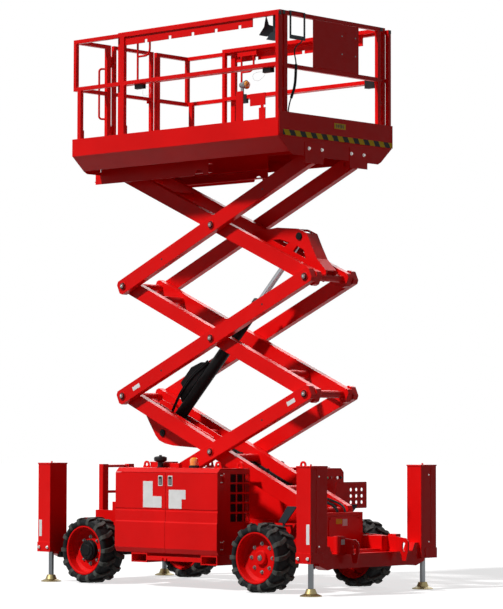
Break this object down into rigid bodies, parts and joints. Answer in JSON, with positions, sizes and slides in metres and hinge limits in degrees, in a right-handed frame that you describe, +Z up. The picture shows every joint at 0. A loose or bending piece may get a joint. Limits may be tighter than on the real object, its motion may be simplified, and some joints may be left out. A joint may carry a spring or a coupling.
{
  "type": "rough terrain scissor lift",
  "caption": "Self-propelled scissor lift with rough-terrain tyres, outriggers, a sliding deck extension and guard rails.",
  "frame": {"origin": "on the ground, midway between the four outrigger feet", "axes": "+X forward, towards the steered wheels; +Y to the machine's left; +Z up"},
  "size_m": [4, 1.908, 5.6407],
  "materials": {
    "red_paint": "gloss red paint",
    "deck_red": "gloss red paint",
    "black_paint": "satin black paint",
    "bright_steel": "ground and plated steel",
    "zinc_plate": "yellow zinc plate",
    "tyre_rubber": "matt black rubber",
    "grey_plastic": "dull grey moulded plastic",
    "amber_lens": "clear amber plastic"
  },
  "bodies": {
    "chassis": {"bay_left": "red_paint", "bay_right": "red_paint", "chassis_frame": "red_paint", "engine_block": "black_paint", "entry_ladder": "red_paint", "fluid_tank": "black_paint", "front_axle": "black_paint", "ground_control_box": "red_paint", "guard_plate": "red_paint", "intake_cleaner": "black_paint", "outrigger_housings": "red_paint", "rear_axle": "black_paint", "roof_beacon": "amber_lens", "valve_box": "red_paint", "wheel_guards": "black_paint"},
    "extension": {"alarm_horn": "grey_plastic", "alarm_stand": "red_paint", "control_holder": "black_paint", "extension_deck": "deck_red", "extension_rails": "red_paint", "front_plate": "red_paint", "rail_latches": "black_paint"},
    "platform": {"deck_frame": "deck_red", "guard_rail_left": "red_paint", "guard_rail_rear": "red_paint", "guard_rail_right": "red_paint"},
    "door_front_left": {"door_front_left": "red_paint"},
    "door_front_right": {"door_front_right": "red_paint"},
    "door_rear_left": {"door_rear_left": "red_paint"},
    "door_rear_right": {"door_rear_right": "red_paint"},
    "outrigger_front_left": {"foot_front_left": "zinc_plate", "leg_front_left": "bright_steel"},
    "outrigger_front_right": {"foot_front_right": "zinc_plate", "leg_front_right": "bright_steel"},
    "outrigger_rear_left": {"foot_rear_left": "zinc_plate", "leg_rear_left": "bright_steel"},
    "outrigger_rear_right": {"foot_rear_right": "zinc_plate", "leg_rear_right": "bright_steel"},
    "wheel_rear_left": {"hub_rear_left": "black_paint", "rim_rear_left": "red_paint", "tyre_rear_left": "tyre_rubber"},
    "wheel_rear_right": {"hub_rear_right": "black_paint", "rim_rear_right": "red_paint", "tyre_rear_right": "tyre_rubber"},
    "inner_arms_1": {"inner_arms_1": "red_paint"},
    "inner_arms_2": {"inner_arms_2": "red_paint"},
    "inner_arms_3": {"inner_arms_3": "red_paint"},
    "lift_barrel": {"lift_barrel": "black_paint"},
    "lift_rod": {"lift_rod": "bright_steel"},
    "outer_arms_1": {"outer_arms_1": "red_paint"},
    "outer_arms_2": {"outer_arms_2": "red_paint"},
    "outer_arms_3": {"outer_arms_3": "red_paint"},
    "rear_gate": {"rear_gate": "red_paint"},
    "wheel_front_left": {"rim_front_left": "red_paint", "tyre_front_left": "tyre_rubber"},
    "wheel_front_right": {"rim_front_right": "red_paint", "tyre_front_right": "tyre_rubber"},
    "knuckle_left": {"steering_knuckle_left": "black_paint"},
    "knuckle_right": {"steering_knuckle_right": "black_paint"}
  },
  "joints": [
    {"name": "scissor_lift", "type": "hinge", "parent": "chassis", "child": "inner_arms_1", "pos_m": [1.287, 0, 0.777], "axis": [0, 1, 0], "range_deg": [-20.91, 30]},
    {"name": "outer_1_pivot", "type": "hinge", "parent": "inner_arms_1", "child": "outer_arms_1", "pos_m": [0.02065, 0, 1.35011], "axis": [0, 1, 0], "range_deg": [-60.01, 41.83]},
    {"name": "inner_2_pivot", "type": "hinge", "parent": "outer_arms_1", "child": "inner_arms_2", "pos_m": [1.287, 0, 1.92322], "axis": [0, 1, 0], "range_deg": [-41.83, 60.01]},
    {"name": "outer_2_pivot", "type": "hinge", "parent": "inner_arms_2", "child": "outer_arms_2", "pos_m": [0.02065, 0, 2.49633], "axis": [0, 1, 0], "range_deg": [-60.01, 41.83]},
    {"name": "inner_3_pivot", "type": "hinge", "parent": "outer_arms_2", "child": "inner_arms_3", "pos_m": [1.287, 0, 3.06944], "axis": [0, 1, 0], "range_deg": [-41.83, 60.01]},
    {"name": "outer_3_pivot", "type": "hinge", "parent": "inner_arms_3", "child": "outer_arms_3", "pos_m": [0.02065, 0, 3.64255], "axis": [0, 1, 0], "range_deg": [-60.01, 41.83]},
    {"name": "platform_pivot", "type": "hinge", "parent": "outer_arms_3", "child": "platform", "pos_m": [1.287, 0, 4.21566], "axis": [0, 1, 0], "range_deg": [-20.92, 30.01]},
    {"name": "barrel_pivot", "type": "hinge", "parent": "inner_arms_1", "child": "lift_barrel", "pos_m": [-0.92194, 0, 1.53895], "axis": [0, 1, 0], "range_deg": [-62.2, 43.4]},
    {"name": "rod_stroke", "type": "slide", "parent": "lift_barrel", "child": "lift_rod", "axis": [0.6962, 0, 0.7178], "range_m": [-0.68, 0.97]},
    {"name": "steer_left", "type": "hinge", "parent": "chassis", "child": "knuckle_left", "pos_m": [1.098, 0.545, 0.337], "axis": [0, 0, 1], "range_deg": [-30, 30]},
    {"name": "steer_right", "type": "hinge", "parent": "chassis", "child": "knuckle_right", "pos_m": [1.098, -0.545, 0.337], "axis": [0, 0, 1], "range_deg": [-30.1, 30.1]},
    {"name": "wheel_front_left_spin", "type": "hinge", "parent": "knuckle_left", "child": "wheel_front_left", "pos_m": [1.098, 0.722, 0.337], "axis": [0, 1, 0], "continuous": true},
    {"name": "wheel_front_right_spin", "type": "hinge", "parent": "knuckle_right", "child": "wheel_front_right", "pos_m": [1.098, -0.722, 0.337], "axis": [0, 1, 0], "continuous": true},
    {"name": "wheel_rear_left_spin", "type": "hinge", "parent": "chassis", "child": "wheel_rear_left", "pos_m": [-1.292, 0.722, 0.337], "axis": [0, 1, 0], "continuous": true},
    {"name": "wheel_rear_right_spin", "type": "hinge", "parent": "chassis", "child": "wheel_rear_right", "pos_m": [-1.292, -0.722, 0.337], "axis": [0, 1, 0], "continuous": true},
    {"name": "leg_front_left", "type": "slide", "parent": "chassis", "child": "outrigger_front_left", "axis": [0, 0, 1], "range_m": [-0.12, 0.2]},
    {"name": "leg_front_right", "type": "slide", "parent": "chassis", "child": "outrigger_front_right", "axis": [0, 0, 1], "range_m": [-0.12, 0.2]},
    {"name": "leg_rear_left", "type": "slide", "parent": "chassis", "child": "outrigger_rear_left", "axis": [0, 0, 1], "range_m": [-0.12, 0.2]},
    {"name": "leg_rear_right", "type": "slide", "parent": "chassis", "child": "outrigger_rear_right", "axis": [0, 0, 1], "range_m": [-0.12, 0.2]},
    {"name": "door_front_left", "type": "hinge", "parent": "chassis", "child": "door_front_left", "pos_m": [0.612, 0.778, 0.763], "axis": [0, 0, -1], "range_deg": [0, 95]},
    {"name": "door_front_right", "type": "hinge", "parent": "chassis", "child": "door_front_right", "pos_m": [0.612, -0.778, 0.763], "axis": [0, 0, 1], "range_deg": [0, 95]},
    {"name": "door_rear_left", "type": "hinge", "parent": "chassis", "child": "door_rear_left", "pos_m": [-0.832, 0.778, 0.763], "axis": [0, 0, 1], "range_deg": [0, 95]},
    {"name": "door_rear_right", "type": "hinge", "parent": "chassis", "child": "door_rear_right", "pos_m": [-0.832, -0.778, 0.763], "axis": [0, 0, -1], "range_deg": [0, 95]},
    {"name": "deck_extension", "type": "slide", "parent": "platform", "child": "extension", "axis": [1, 0, 0], "range_m": [0, 1.2]},
    {"name": "rear_gate", "type": "hinge", "parent": "platform", "child": "rear_gate", "pos_m": [-1.467, -0.325, 5.11566], "axis": [0, 0, -1], "range_deg": [0, 90]}
  ],
  "couplings": [
    {"joint": "outer_1_pivot", "follows": "scissor_lift", "ratio": -2},
    {"joint": "inner_2_pivot", "follows": "scissor_lift", "ratio": 2},
    {"joint": "outer_2_pivot", "follows": "scissor_lift", "ratio": -2},
    {"joint": "inner_3_pivot", "follows": "scissor_lift", "ratio": 2},
    {"joint": "outer_3_pivot", "follows": "scissor_lift", "ratio": -2},
    {"joint": "platform_pivot", "follows": "scissor_lift", "ratio": 1},
    {"joint": "barrel_pivot", "follows": "scissor_lift", "ratio": -2.07},
    {"joint": "rod_stroke", "follows": "scissor_lift", "m_per_rad": 1.85},
    {"joint": "steer_right", "follows": "steer_left", "ratio": 1}
  ]
}
